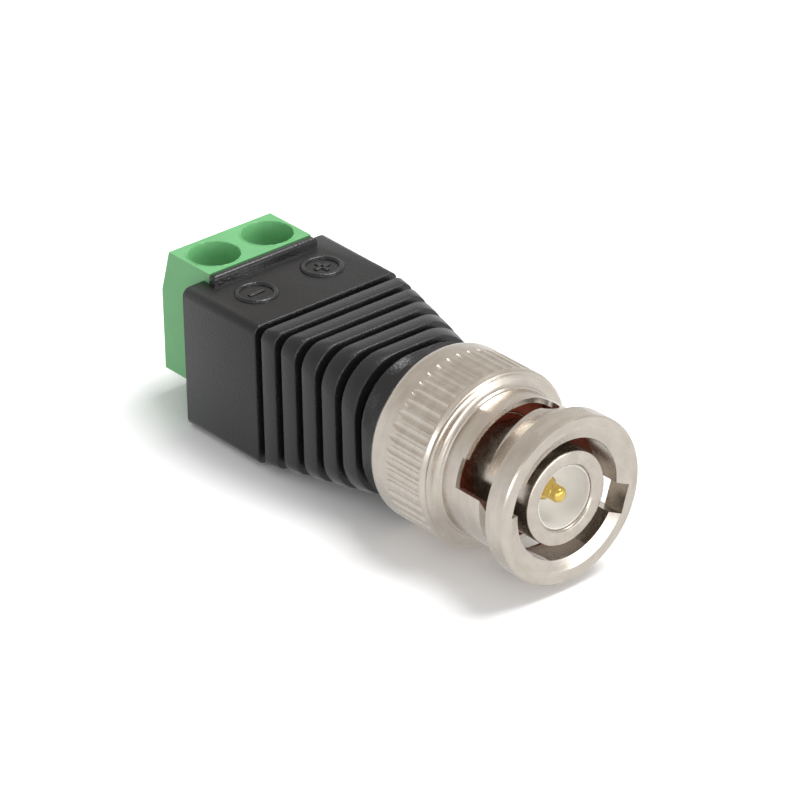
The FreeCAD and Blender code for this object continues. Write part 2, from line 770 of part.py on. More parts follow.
# Internal conductors: each a round wire swept along a path with soft bends
def lead(label, points):
    made = body(label)
    path = sketch(made, "XY_Plane", label + "_path")
    here = []
    for i in range(3):
        p = V(value(points[i][0]), value(points[i][1]), 0)
        q = V(value(points[i + 1][0]), value(points[i + 1][1]), 0)
        here.append(path.addGeometry(Part.LineSegment(p, q), False))
    for i in range(2):
        path.addConstraint(Sketcher.Constraint("Coincident", here[i], 2, here[i + 1], 1))
    for i in range(3):
        pin_point(path, here[i], 1, points[i][0], points[i][1], "p" + str(i))
    pin_point(path, here[2], 2, points[3][0], points[3][1], "p3")
    disc = sketch(made, "YZ_Plane", label + "_disc", points[0][0])
    ring(disc, points[0][1], "0", "wire_radius")
    pipe = made.newObject("PartDesign::AdditivePipe", label + "_pipe")
    pipe.Profile = disc
    pipe.Spine = path
    pipe.Transition = "Round corner"
    path.Visibility = False
    disc.Visibility = False
    return made


parts.append(lead("centre_lead", [
    ("tail_front + seat_gap", POLE),
    ("tail_front + 2.4", POLE),
    ("pin_rear - 3.2", "0"),
    ("pin_rear + cup_depth - 0.2", "0"),
]))
parts.append(lead("shield_lead", [
    ("tail_front + seat_gap", POLE_MINUS),
    ("tail_front + 2.4", POLE_MINUS),
    ("shank_rear - 3.2", "0 - collar_mid"),
    ("shank_rear - seat_gap", "0 - collar_mid"),
]))


# Solder joints: a tapered bead round the end of each conductor
def bead(label, base, tip, across):
    made = body(label)
    sk = sketch(made, "XZ_Plane", label + "_profile")
    outline(sk, [
        (base, "wire_radius + run_gap/4"),
        (base, "bead_radius"),
        (tip, "wire_radius + 0.15"),
        (tip, "wire_radius + run_gap/4"),
    ])
    turned(made, sk, label + "_turning")
    made.Placement = FreeCAD.Placement(V(0, value(across), 0), FreeCAD.Rotation())
    made.setExpression("Placement.Base.y", bound(across))
    return made


parts.append(bead("solder_neg", "tail_front + seat_gap", "tail_front + 1.3", POLE_MINUS))
parts.append(bead("solder_pos", "tail_front + seat_gap", "tail_front + 1.3", POLE))
parts.append(bead("solder_pin", "pin_rear - seat_gap", "pin_rear - 0.9", "0"))
parts.append(bead("solder_shield", "shank_rear - seat_gap", "shank_rear - 1.1", "0 - collar_mid"))

doc.recompute()

# Every object must be sound before anything is written
bad = []
for item in doc.Objects:
    for word in item.State:
        if word in ("Invalid", "Error"):
            bad.append(item.Name + " is " + word)
for item in parts:
    if item.Shape.isNull() or not item.Shape.isValid():
        bad.append(item.Label + " has no valid shape")
if bad:
    raise ValueError("; ".join(bad))

os.makedirs("parts", exist_ok=True)
for item in parts:
    item.Shape.exportStep("parts/" + item.Label + ".step")
    box_now = item.Shape.BoundBox
    print("%-20s %9.3f mm3  x %.2f to %.2f  y %.2f to %.2f  z %.2f to %.2f" % (
        item.Label, item.Shape.Volume, box_now.XMin, box_now.XMax,
        box_now.YMin, box_now.YMax, box_now.ZMin, box_now.ZMax))
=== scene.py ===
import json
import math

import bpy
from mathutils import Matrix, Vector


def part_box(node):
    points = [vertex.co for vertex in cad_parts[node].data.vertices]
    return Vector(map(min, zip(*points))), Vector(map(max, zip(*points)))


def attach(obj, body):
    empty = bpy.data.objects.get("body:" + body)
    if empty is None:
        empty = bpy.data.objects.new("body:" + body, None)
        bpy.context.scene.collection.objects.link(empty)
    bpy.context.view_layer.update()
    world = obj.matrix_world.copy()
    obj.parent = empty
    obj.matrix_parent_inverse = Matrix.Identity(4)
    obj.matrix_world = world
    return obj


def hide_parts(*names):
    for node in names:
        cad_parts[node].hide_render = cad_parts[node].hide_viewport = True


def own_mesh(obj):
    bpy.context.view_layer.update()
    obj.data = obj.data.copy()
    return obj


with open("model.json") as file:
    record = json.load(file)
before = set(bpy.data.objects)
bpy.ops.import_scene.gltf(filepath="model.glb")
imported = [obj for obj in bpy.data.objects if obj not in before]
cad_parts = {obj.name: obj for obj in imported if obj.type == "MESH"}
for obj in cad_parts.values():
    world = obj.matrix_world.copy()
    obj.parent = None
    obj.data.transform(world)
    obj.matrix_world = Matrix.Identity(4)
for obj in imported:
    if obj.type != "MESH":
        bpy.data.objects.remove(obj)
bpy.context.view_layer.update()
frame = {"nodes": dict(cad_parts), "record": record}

# %% [markdown]
# ## The adapter and its frame
# The object is a coaxial bayonet plug on a black ribbed housing, with a green two-way screw
# terminal at the other end. The measured model is already in the scene: its plug axis is X, the
# plug's mouth looks towards +X, and +Z is up. Each piece below is modelled round that same axis, so
# nothing has to be fitted afterwards. The faces of the measured parts' boxes are read as they are
# needed, and the pieces take their ends and radii from them.

MM = 0.001
scene = bpy.context.scene
scene.view_settings.view_transform = "Standard"


def edge_of(node, axis, side):
    """One face of a node's box, in mm: axis 0 to 2, side 0 for the low face and 1 for the high."""
    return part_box(node)[side][axis] / MM


# %% [markdown]
# ## Working as by hand
# Every piece starts as a primitive and is shaped with the same operators that the menus hold. An
# operator works on whatever is selected, so the first helper deselects everything and picks one
# object. The second picks vertices by their place, which stands for clicking them.

# %% Helpers for picking
def pick(obj):
    """Makes obj the only selected and active object."""
    if bpy.context.mode != "OBJECT":
        bpy.ops.object.mode_set(mode="OBJECT")
    bpy.ops.object.select_all(action="DESELECT")
    obj.select_set(True)
    bpy.context.view_layer.objects.active = obj


def pick_points(obj, test):
    """In edit mode, selects the vertices whose place in mm passes the test."""
    bpy.ops.object.mode_set(mode="EDIT")
    bpy.ops.mesh.select_mode(type="VERT")
    bpy.ops.mesh.select_all(action="DESELECT")
    bpy.ops.object.mode_set(mode="OBJECT")
    for v in obj.data.vertices:
        v.select = bool(test(v.co / MM))
    bpy.ops.object.mode_set(mode="EDIT")


def named(name):
    """Names the object just added, and its mesh."""
    obj = bpy.context.object
    obj.name = name
    obj.data.name = name
    return obj


def rest(obj):
    """Leaves edit mode and puts the object's place into its mesh."""
    pick(obj)
    bpy.ops.object.transform_apply(location=True, rotation=True, scale=True)
    return obj


def apply(obj, kind, **settings):
    """Adds a modifier with these settings and applies it."""
    pick(obj)
    mod = obj.modifiers.new(kind.title(), kind)
    for key, setting in settings.items():
        setattr(mod, key, setting)
    bpy.ops.object.modifier_apply(modifier=mod.name)


def cut(obj, cutter, operation="DIFFERENCE"):
    """Cuts obj with the cutter, or joins the two, and deletes the cutter."""
    apply(obj, "BOOLEAN", object=cutter, operation=operation, solver="MANIFOLD")
    bpy.data.objects.remove(cutter, do_unlink=True)


def soften(obj, width, angle=32, segments=2):
    """Breaks the sharp edges as tumbling, plating or a mould does, then shades the piece."""
    apply(obj, "BEVEL", width=width * MM, segments=segments, limit_method="ANGLE",
          angle_limit=math.radians(angle), use_clamp_overlap=True, harden_normals=False)
    pick(obj)
    bpy.ops.object.shade_smooth_by_angle(angle=math.radians(angle))


def block(name, low, high):
    """A cube between two corners in mm, to cut with or to shape further."""
    centre = [(a + b) / 2 * MM for a, b in zip(low, high)]
    size = [(b - a) * MM for a, b in zip(low, high)]
    bpy.ops.object.select_all(action="DESELECT")
    bpy.ops.mesh.primitive_cube_add(size=1, location=centre, scale=size)
    return rest(named(name))


print("helpers ready")

# %% [markdown]
# ## Turned pieces
# The plug is lathe work: sleeve, insulator, pin, gasket and ring are all a profile swept once
# round the axis. So one helper draws a profile the way a modeller would. It shrinks a plane to a
# single vertex, extrudes that vertex from corner to corner, and spins the line round X.

# %% Profile and spin
FINE = 192
# Vertices nearer than this, in metres, become one. A profile that ends on the axis stops this near
# to it, in mm, so that the spin's vertices there do so too.
MERGE = 1e-7
AXIS = 0.0001


def turned(name, corners, steps=FINE, axis=(1, 0, 0)):
    """Spins a closed profile. A corner is (along the axis, radius) in mm."""
    along = Vector(axis)
    out = Vector((0, 0, 1)) if axis[0] else Vector((1, 0, 0))
    places = [(along * a + out * r) * MM for a, r in corners]
    bpy.ops.object.select_all(action="DESELECT")
    bpy.ops.mesh.primitive_plane_add(size=MM, location=places[0])
    obj = named(name)
    rest(obj)
    bpy.ops.object.mode_set(mode="EDIT")
    bpy.ops.mesh.merge(type="CENTER")
    for here, there in zip(places, places[1:]):
        bpy.ops.mesh.extrude_region_move(TRANSFORM_OT_translate={"value": there - here})
    bpy.ops.mesh.select_all(action="SELECT")
    bpy.ops.mesh.remove_doubles(threshold=MERGE)
    bpy.ops.mesh.select_all(action="SELECT")
    bpy.ops.mesh.spin(steps=steps, angle=math.tau, center=(0, 0, 0), axis=axis,
                      use_auto_merge=True)
    bpy.ops.mesh.select_all(action="SELECT")
    bpy.ops.mesh.remove_doubles(threshold=MERGE)
    bpy.ops.mesh.normals_make_consistent(inside=False)
    bpy.ops.object.mode_set(mode="OBJECT")
    return obj


def arc(x, r, radius, start, stop, parts):
    """Corners along a round stretch of a profile. Angles in degrees from +X towards outwards."""
    out = []
    for i in range(parts + 1):
        t = math.radians(start + (stop - start) * i / parts)
        out.append((x + radius * math.cos(t), r + radius * math.sin(t)))
    return out


def closed(corners):
    """The profile with its first corner repeated, so that the line ends where it began."""
    return corners + corners[:1]


# %% [markdown]
# ## Outer contact, insulator and centre pin
# The sleeve is the front of the plug's metal body. Its free wall starts at the frame's origin and
# the rest of the body is stepped, so one profile gives the wall, the gasket's seat, the flange, the
# shank and the collet behind it. The insulator has a round bowl in front of the pin's shoulder, and
# the pin has a fine groove behind its domed head. Small bevels at the corners catch the light, as
# they do on the real parts.

# %% Turn the plug's core
SLEEVE = 4.05
SLEEVE_BORE = 2.79
RIM_OUTSIDE = 0.15
RIM_INSIDE = 0.16
ROOT = 4.12
FLANGE = (-2.9, -1.6)
SHANK = 4.45
COLLET = 5.0
COLLET_LENGTH = 1.6
REAR_BORE = 3.4
REAR_BORE_FRONT = -4.0
sleeve_front = edge_of("plug_body", 0, 1)
shank_rear = edge_of("plug_body", 0, 0)
flange_radius = edge_of("plug_body", 2, 1)

plug = turned("outer_contact", closed([
    (sleeve_front, SLEEVE_BORE + RIM_INSIDE),
    (sleeve_front, SLEEVE - RIM_OUTSIDE),
    (sleeve_front - 0.05, SLEEVE - 0.04),
    (sleeve_front - RIM_OUTSIDE, SLEEVE),
    (0, SLEEVE),
    (0, ROOT),
    (FLANGE[1], ROOT),
    (FLANGE[1], flange_radius),
    (FLANGE[0], flange_radius),
    (FLANGE[0], SHANK),
    (shank_rear + COLLET_LENGTH, SHANK),
    (shank_rear + COLLET_LENGTH, COLLET),
    (shank_rear, COLLET),
    (shank_rear, REAR_BORE),
    (REAR_BORE_FRONT, REAR_BORE),
    (REAR_BORE_FRONT, SLEEVE_BORE),
    (sleeve_front - RIM_INSIDE, SLEEVE_BORE),
]))
soften(plug, 0.03)

CUP_FLOOR = 5.9
CUP_RIM = 2.68
BOWL = 1.64
BOWL_STEPS = 12
PIN_HOLE = 0.98
CORE = SLEEVE_BORE - 0.02
CORE_TAIL = 3.37
cup_front = edge_of("insulator", 0, 1)
core_rear = edge_of("insulator", 0, 0)
bowl_front = cup_front - 0.02
bowl = []
for i in range(BOWL_STEPS + 1):
    t = math.radians(90 * i / BOWL_STEPS)
    depth = (bowl_front - CUP_FLOOR) * math.sin(t)
    bowl.append((bowl_front - depth, PIN_HOLE + BOWL * math.cos(t)))
core = turned("white_core", closed([
    (cup_front, CUP_RIM),
    (cup_front - 0.06, CORE),
    (-3.95, CORE),
    (-4.03, CORE_TAIL),
    (core_rear, CORE_TAIL),
    (core_rear, PIN_HOLE)]
    + bowl[::-1]))
soften(core, 0.02)

PIN = 0.675
DOME = 0.5
PIN_SHAFT = 0.95
PIN_GROOVE = PIN - 0.05
LEAD_BORE = 0.46
pin_tip = edge_of("centre_pin", 0, 1)
pin_rear = edge_of("centre_pin", 0, 0)
pin = turned("gilt_pin", closed(
    [(pin_rear, LEAD_BORE), (pin_rear, PIN_SHAFT), (CUP_FLOOR - 0.02, PIN_SHAFT),
     (CUP_FLOOR + 0.05, PIN_SHAFT - 0.05), (CUP_FLOOR + 0.05, PIN),
     (6.98, PIN), (7.02, PIN_GROOVE), (7.08, PIN_GROOVE), (7.12, PIN)]
    + arc(pin_tip - DOME, PIN - DOME, DOME, 90, 6, 9)
    + [(pin_tip, AXIS), (pin_rear + 2.05, AXIS), (pin_rear + 1.8, LEAD_BORE)]),
    steps=96)
soften(pin, 0.015)
for piece, node in ((plug, "plug_body"), (core, "insulator"), (pin, "centre_pin")):
    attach(piece, "adapter_body")
    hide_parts(node)
print("plug core:", [p.name for p in (plug, core, pin)])

# %% [markdown]
# ## Gasket
# The red-brown ring that shows through the window is soft rubber. It is a plain square ring when
# it is new, with round corners from its mould, so the same helper turns it and a wider bevel
# rounds it.

# %% Turn the gasket
GASKET = 5.82
GASKET_BORE = ROOT + 0.03
gasket_rear = edge_of("gasket", 0, 0)
gasket_front = edge_of("gasket", 0, 1)
gasket = turned("rubber_gasket", closed([
    (gasket_rear, GASKET_BORE), (gasket_front, GASKET_BORE),
    (gasket_front, GASKET), (gasket_rear, GASKET)]))
soften(gasket, 0.1, segments=4)
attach(gasket, "adapter_body")
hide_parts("gasket")
print("gasket added, radius", GASKET, "mm")

# %% [markdown]
# ## Wave washer
# Behind the flange sits the spring that pulls the ring back: a thin flat ring, waved three times
# round. It is turned flat, and then its vertices are moved along X one row after another, by a
# cosine of their angle. It is pressed together when the ring is pulled forward.

# %% Turn and wave the washer
WAVES = 3
WAVE_STEPS = 72
WAVE_INSIDE = 4.6
WAVE_OUTSIDE = 5.4
GAUGE = 0.26
wave_rear = edge_of("wave_washer", 0, 0)
wave_front = edge_of("wave_washer", 0, 1)
wave_middle = (wave_rear + wave_front) / 2
swing = (wave_front - wave_rear - GAUGE) / 2
washer = turned("waved_washer", closed([
    (wave_middle - GAUGE / 2, WAVE_INSIDE), (wave_middle + GAUGE / 2, WAVE_INSIDE),
    (wave_middle + GAUGE / 2, WAVE_OUTSIDE), (wave_middle - GAUGE / 2, WAVE_OUTSIDE)]),
    steps=WAVE_STEPS)


def on_row(point, angle):
    """Whether a vertex of the washer stands at this angle round X, in radians."""
    return abs(math.remainder(math.atan2(point.z, point.y) - angle, math.tau)) < 0.01


for i in range(WAVE_STEPS):
    angle = math.tau * i / WAVE_STEPS
    pick_points(washer, lambda p: on_row(p, angle))
    bpy.ops.transform.translate(value=(swing * math.cos(WAVES * angle) * MM, 0, 0))
bpy.ops.object.mode_set(mode="OBJECT")
soften(washer, 0.03)
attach(washer, "adapter_body")
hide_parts("wave_washer")
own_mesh(washer)
print("wave washer added, swing", round(swing, 3), "mm")

# %% [markdown]
# ## Coupling ring
# This is the piece that the eye goes to. The outside is one turned profile: a collar with a coned
# mouth and a sloped back, a plain neck, a hollow step and a fluted grip with a round shoulder. The
# inside is the bore at the mouth, a wider chamber and the seat that runs on the shank. The profile
# is spun first, and then everything that isn't round is cut out of it, in the order a workshop
# would do it: flutes, mouth slots, and the two windows with their sloping edge and round lock.

# %% Spin the ring
COLLAR = 7.2
COLLAR_LENGTH = 2.0
COLLAR_SLOPE = 1.75
FACE = 7.3
MOUTH = 6.12
MOUTH_CONE = 0.42
BORE = 5.2
NECK = 6.3
NECK_ROOT = 0.6
CHAMBER = 5.87
LIP_REAR = 5.6
GRIP = 7.65
GRIP_FRONT = -0.45
SHOULDER = 1.1
SKIRT_BORE = 6.52
RING_SEAT = (-5.72, -4.42)
RING_SEAT_BORE = 4.53
nut_front = edge_of("coupling_ring", 0, 1)
nut_rear = edge_of("coupling_ring", 0, 0)
collar_rear = nut_front - COLLAR_LENGTH
collar_line = [
    (nut_front, MOUTH), (nut_front, COLLAR - 0.14), (nut_front - 0.13, COLLAR),
    (collar_rear + 0.05, COLLAR), (collar_rear, COLLAR - 0.06), (collar_rear - COLLAR_SLOPE, NECK)]
hollow_line = [
    (NECK_ROOT, NECK), (NECK_ROOT - 0.07, NECK + 0.1), (0.36, NECK + 0.17),
    (0.22, NECK + 0.34), (0.12, NECK + 0.6)]
step_line = [
    (0.05, FACE - 0.12), (-0.02, FACE), (-0.12, FACE + 0.03), (-0.19, FACE - 0.02),
    (-0.24, FACE + 0.12), (GRIP_FRONT, GRIP)]
inside_line = [
    (nut_rear, SKIRT_BORE), (RING_SEAT[0], SKIRT_BORE), (RING_SEAT[0], RING_SEAT_BORE),
    (RING_SEAT[1], RING_SEAT_BORE), (RING_SEAT[1], CHAMBER), (LIP_REAR, CHAMBER),
    (LIP_REAR, BORE), (nut_front - MOUTH_CONE, BORE)]
ring = turned("bayonet_ring", closed(
    collar_line + hollow_line + step_line
    + arc(nut_rear + SHOULDER, GRIP - SHOULDER, SHOULDER, 90, 180, 10) + inside_line))
print("ring profile spun:", len(ring.data.vertices), "vertices")

# %% [markdown]
# The flutes are round-bottomed grooves, pressed in and then tumbled, so each one leaves the grip in
# a long soft slope at the rear and in a short one at the front. One cutter is turned as a thin
# spindle with those ends, duplicated round the axis and joined, so that one cut makes them all.

# %% Cut the flutes
FLUTES = 48
FLUTE = 0.52
FLUTE_DEPTH = 0.17
FLUTE_SPAN = (-4.92, -0.5)
# From the end of the span inwards: how far, and the spindle's radius there
SOFT_END = [(0.02, 0.2), (0.05, 0.335), (0.22, 0.4), (0.42, 0.458), (0.62, 0.497), (0.85, FLUTE)]
SHORT_END = [(0.02, 0.2), (0.06, 0.34), (0.12, 0.43), (0.19, 0.49), (0.27, FLUTE)]


def around_axis(obj, degrees):
    """Turns all of obj's mesh round X, measured from +Y towards +Z for a piece made at the top."""
    obj.matrix_world = Matrix.Rotation(math.radians(degrees - 90), 4, "X")
    return rest(obj)


flute = turned("flute_tool", closed(
    [(FLUTE_SPAN[0], AXIS)] + [(FLUTE_SPAN[0] + away, r) for away, r in SOFT_END]
    + [(FLUTE_SPAN[1] - away, r) for away, r in SHORT_END[::-1]] + [(FLUTE_SPAN[1], AXIS)]),
    steps=28)
flute.location.z = (GRIP + FLUTE - FLUTE_DEPTH) * MM
rest(flute)
tools = [flute]
for i in range(1, FLUTES):
    pick(flute)
    bpy.ops.object.duplicate()
    tools.append(around_axis(bpy.context.object, 90 + 360 * i / FLUTES))
pick(flute)
for tool in tools:
    tool.select_set(True)
bpy.ops.object.join()
cut(ring, rest(bpy.context.object))
print("flutes cut:", FLUTES)

# %% [markdown]
# The bayonet is cut at angles that were measured in the photograph, from +Y towards +Z, and twice,
# half a turn apart. A stud of the jack comes in by a slot in the mouth, passes a wider gate behind
# the collar, slides along the sloping edge of the window, and drops into the round lock.

# %% Cut the slots and windows
ENTRY = 161
ENTRY_WIDTH = 2.5
ENTRY_RADIUS = 6.08
ENTRY_SPAN = 23
GATE_REAR = 2.2
WINDOW = 119
WINDOW_REAR = 2.5
WINDOW_HALF = 3.3
RAMP = (5.2, 4.37)
LOCK = 73.5
LOCK_RADIUS = 1.215
LOCK_OVERLAP = 2.1
LOCK_ARC = 235
# The cutters are made over the axis and run from DEEP to WIDE. The broad ones start at NEAR,
# because the wall curves down at their sides.
DEEP = BORE - 0.5
WIDE = NECK + 1.0
NEAR = 1.0


def prism(name, outline, low, high):
    """An outline of (x, y) corners in mm, extruded from one height to another."""
    bpy.ops.object.select_all(action="DESELECT")
    start = (outline[0][0] * MM, outline[0][1] * MM, low * MM)
    bpy.ops.mesh.primitive_plane_add(size=MM, location=start)
    obj = rest(named(name))
    bpy.ops.object.mode_set(mode="EDIT")
    bpy.ops.mesh.merge(type="CENTER")
    for here, there in zip(outline, outline[1:]):
        step = Vector((there[0] - here[0], there[1] - here[1], 0)) * MM
        bpy.ops.mesh.extrude_region_move(TRANSFORM_OT_translate={"value": step})
    bpy.ops.mesh.select_all(action="SELECT")
    bpy.ops.mesh.edge_face_add()
    bpy.ops.mesh.select_all(action="SELECT")
    bpy.ops.mesh.extrude_region_move(TRANSFORM_OT_translate={"value": (0, 0, (high - low) * MM)})
    bpy.ops.mesh.select_all(action="SELECT")
    bpy.ops.mesh.normals_make_consistent(inside=False)
    bpy.ops.object.mode_set(mode="OBJECT")
    return obj


def round_slot(parts=24):
    """The lock end: a round far side that runs into the window."""
    centre = WINDOW_REAR + LOCK_RADIUS
    points = []
    for i in range(parts + 1):
        t = math.radians(180 - LOCK_ARC * i / parts)
        points.append((centre + LOCK_RADIUS * math.cos(t), LOCK_RADIUS * math.sin(t)))
    return points + [(RAMP[1], -LOCK_OVERLAP), (WINDOW_REAR, -LOCK_OVERLAP)]


def gate_shape():
    """The way in behind a mouth slot, as a block between two angles about the axis."""
    half = math.radians(ENTRY_SPAN / 2)
    inner = DEEP * math.tan(half)
    outer = WIDE * math.tan(half)
    gate = block("gate_tool", (GATE_REAR, -outer, DEEP), (collar_rear, outer, WIDE))
    pick_points(gate, lambda p: p.z < DEEP + 0.01)
    bpy.ops.transform.resize(value=(1, inner / outer, 1))
    bpy.ops.object.mode_set(mode="OBJECT")
    return gate


for turn in (0, 180):
    slot = block("slot_tool", (collar_rear - 0.5, -ENTRY_WIDTH / 2, DEEP),
                 (nut_front + 1, ENTRY_WIDTH / 2, ENTRY_RADIUS))
    cut(ring, around_axis(slot, ENTRY + turn))
    cut(ring, around_axis(gate_shape(), ENTRY + turn))
    window = prism("window_tool", [
        (WINDOW_REAR, -WINDOW_HALF), (RAMP[0], -WINDOW_HALF),
        (RAMP[1], WINDOW_HALF), (WINDOW_REAR, WINDOW_HALF)], NEAR, WIDE)
    cut(ring, around_axis(window, WINDOW + turn))
    lock = prism("lock_tool", round_slot(), NEAR, WIDE)
    cut(ring, around_axis(lock, LOCK + turn))
soften(ring, 0.045, angle=20)
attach(ring, "ring")
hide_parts("coupling_ring")
print("ring finished:", len(ring.data.polygons), "faces")

# %% [markdown]
# ## Ribbed housing
# The housing goes from a block with small corner radii to a round neck, with six grooves round it.
# It is one moulding, so it is built as one skin: a row of rounded rectangles is drawn along X, each
# a plane with its corners bevelled, and neighbours are bridged. A groove is nine such loops close
# together: a rounded shoulder behind it, its floor, and a rounded shoulder ahead of it. The row
# then turns back inside for the bore, the hollow and the terminal's seat.

# %% Loops of the housing
house_rear = edge_of("housing", 0, 0)
house_nose = edge_of("housing", 0, 1)
GROOVE_FIRST = -20.88
GROOVE_PITCH = 2.236
GROOVE_WIDTH = 0.62
GROOVE_DEPTH = 0.8
GROOVES = 6
# Where a groove's shoulders are: the distance from its wall, and how far the outside has sunk there
SHOULDER_REAR = [(0.12, 0), (0.08, 0.012), (0.045, 0.04), (0.015, 0.1)]
SHOULDER_FRONT = [(0, 0.2), (0.1, 0.08), (0.32, 0)]
DRAFT = 0.04
CORNER_STEPS = 10
# Half width, bottom, top and corner radius where each groove is, after one row for the rear
STATIONS = [(7.66, -6.6, 6.22, 0.75), (7.56, -6.6, 6.22, 0.75), (7.32, -6.34, 6.24, 1.2),
            (7.03, -6.37, 6.27, 1.95), (6.8, -6.42, 6.32, 2.8), (6.58, -6.46, 6.36, 3.75),
            (6.4, -6.48, 6.38, 4.9)]
places = [house_rear] + [GROOVE_FIRST + GROOVE_PITCH * i for i in range(GROOVES)]


def section(x):
    """The outside's half width, bottom, top and corner radius at x, between the stations."""
    for i in range(len(places) - 1):
        if x <= places[i + 1] or i == len(places) - 2:
            share = (x - places[i]) / (places[i + 1] - places[i])
            return [a + (b - a) * share for a, b in zip(STATIONS[i], STATIONS[i + 1])]


def loop_at(x, half, low, high, corner):
    """In edit mode, adds a rounded rectangle across the axis, in mm."""
    bpy.ops.mesh.select_all(action="DESELECT")
    bpy.ops.mesh.primitive_plane_add(size=1, location=(x * MM, 0, (low + high) / 2 * MM),
                                     rotation=(0, math.pi / 2, 0))
    bpy.ops.transform.resize(value=(1, 2 * half * MM, (high - low) * MM))
    bpy.ops.mesh.bevel(offset=corner * MM, segments=CORNER_STEPS, affect="VERTICES",
                       clamp_overlap=True)
    bpy.ops.mesh.delete(type="ONLY_FACE")


def lowered(x, depth):
    """The outside's loop at x, sunk by a depth, for the rounded edges of the grooves."""
    half, low, high, corner = section(x)
    return (x, half - depth, low + depth, high - depth, corner)


loops = [lowered(house_rear, 0)]
for i in range(GROOVES):
    centre = GROOVE_FIRST + GROOVE_PITCH * i
    rear = centre - GROOVE_WIDTH / 2
    front = centre + GROOVE_WIDTH / 2
    half, low, high, corner = section(centre)
    sunk = (half - GROOVE_DEPTH, low + GROOVE_DEPTH, high - GROOVE_DEPTH, max(corner - 0.35, 0.3))
    loops += [lowered(rear - away, depth) for away, depth in SHOULDER_REAR]
    loops += [(rear + DRAFT, *sunk), (front - DRAFT, *sunk)]
    loops += [lowered(front + away, depth) for away, depth in SHOULDER_FRONT]


def round_loop(x, radius):
    """A loop that is as good as round."""
    return (x, radius, -radius, radius, radius - 0.02)


NOSE = 6.3
# The round nose starts this far ahead of the last groove's middle
NOSE_START = 1.2
SHANK_HOLE = 4.48
COLLET_HOLE = 5.03
COLLET_FRONT = -11.8
COLLET_REAR = -15.2
HOLLOW = (4.75, -3.7, 3.7, 0.6)
SEAT = (5.42, -4.23, 4.65, 0.15)
SEAT_FRONT = -26.5
loops += [
    round_loop(places[-1] + NOSE_START, NOSE),
    round_loop(house_nose, NOSE),
    round_loop(house_nose - DRAFT, SHANK_HOLE),
    round_loop(COLLET_FRONT + DRAFT, SHANK_HOLE),
    round_loop(COLLET_FRONT, COLLET_HOLE),
    round_loop(COLLET_REAR, COLLET_HOLE),
    (COLLET_REAR - DRAFT, *HOLLOW),
    (SEAT_FRONT + DRAFT, *HOLLOW),
    (SEAT_FRONT, *SEAT),
    (house_rear + DRAFT, *SEAT),
]
bpy.ops.object.select_all(action="DESELECT")
bpy.ops.mesh.primitive_plane_add(size=MM)
housing = named("ribbed_housing")
bpy.ops.object.mode_set(mode="EDIT")
bpy.ops.mesh.delete(type="VERT")
for loop in loops:
    loop_at(*loop)
print("loops drawn:", len(loops))

# %% [markdown]
# The loops are picked two by two and bridged, round the whole row and back to the first, which
# closes the skin at the rear rim.

# %% Bridge the loops and close the skin
SAME_PLACE = 0.0004
for i in range(len(loops)):
    ends = (loops[i][0], loops[(i + 1) % len(loops)][0])
    pick_points(housing, lambda p: min(abs(p.x - ends[0]), abs(p.x - ends[1])) < SAME_PLACE)
    bpy.ops.mesh.bridge_edge_loops()
bpy.ops.mesh.select_all(action="SELECT")
bpy.ops.mesh.normals_make_consistent(inside=False)
bpy.ops.object.mode_set(mode="OBJECT")
print("housing skin:", len(housing.data.polygons), "faces")

# %% [markdown]
# ## Bar and open top
# A low bar with a round top stands across the housing in front of the terminal, and behind it the
# seat is open upwards. The bar is a block whose top edges get a round bevel before it is joined on.

# %% Add the bar and open the seat
BAR = (-29.75, -29.0)
BAR_FOOT = 5.4
BAR_ROUND = 0.3
seat_half = SEAT[0]
bar_top = edge_of("housing", 2, 1)
bar = block("bar_tool", (BAR[0], -seat_half, BAR_FOOT), (BAR[1], seat_half, bar_top))
pick_points(bar, lambda p: p.z > (BAR_FOOT + bar_top) / 2)
bpy.ops.mesh.bevel(offset=BAR_ROUND * MM, segments=5, affect="EDGES")
bpy.ops.object.mode_set(mode="OBJECT")
cut(housing, bar, "UNION")
opening = block("opening_tool", (house_rear - 1, -seat_half, SEAT[2] - 0.6),
                (BAR[0], seat_half, bar_top + 2))
cut(housing, opening)
soften(housing, 0.09, angle=30, segments=3)
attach(housing, "adapter_body")
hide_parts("housing")
print("housing finished:", len(housing.data.polygons), "faces")

# %% [markdown]
# ## Polarity marks
# Two raised rings with a minus and a plus stand on the flat top. They are generic signs, moulded in
# the same plastic. A torus gives the ring, sunk a little so that it grows out of the surface, and
# small rounded bars give the signs. They lie along the housing, as a user reads them from the rear.

# %% Model the marks
MARK_X = -25.85
MARK_Z = 6.2
MARK_RADIUS = 1.62
MARK_WIRE = 0.26
SIGN = (1.6, 0.42)
SIGN_SUNK = 0.1
SIGN_RAISED = 0.14
marks = []
for name, y, bars in (("mark_minus", -3.58, 1), ("mark_plus", 3.37, 2)):
    bpy.ops.object.select_all(action="DESELECT")
    bpy.ops.mesh.primitive_torus_add(location=(MARK_X * MM, y * MM, MARK_Z * MM),
                                     major_radius=MARK_RADIUS * MM, minor_radius=MARK_WIRE * MM,
                                     major_segments=72, minor_segments=14)
    mark = rest(named(name))
    for i in range(bars):
        long = (SIGN[1] / 2, SIGN[0] / 2) if i == 0 else (SIGN[0] / 2, SIGN[1] / 2)
        sign = block("sign", (MARK_X - long[0], y - long[1], MARK_Z - SIGN_SUNK),
                     (MARK_X + long[0], y + long[1], MARK_Z + SIGN_RAISED))
        soften(sign, 0.08, segments=3)
        pick(mark)
        sign.select_set(True)
        bpy.ops.object.join()
        mark = bpy.context.object
    pick(mark)
    bpy.ops.object.shade_smooth_by_angle(angle=math.radians(40))
    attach(mark, "adapter_body")
    marks.append(mark)
print("marks added:", len(marks))

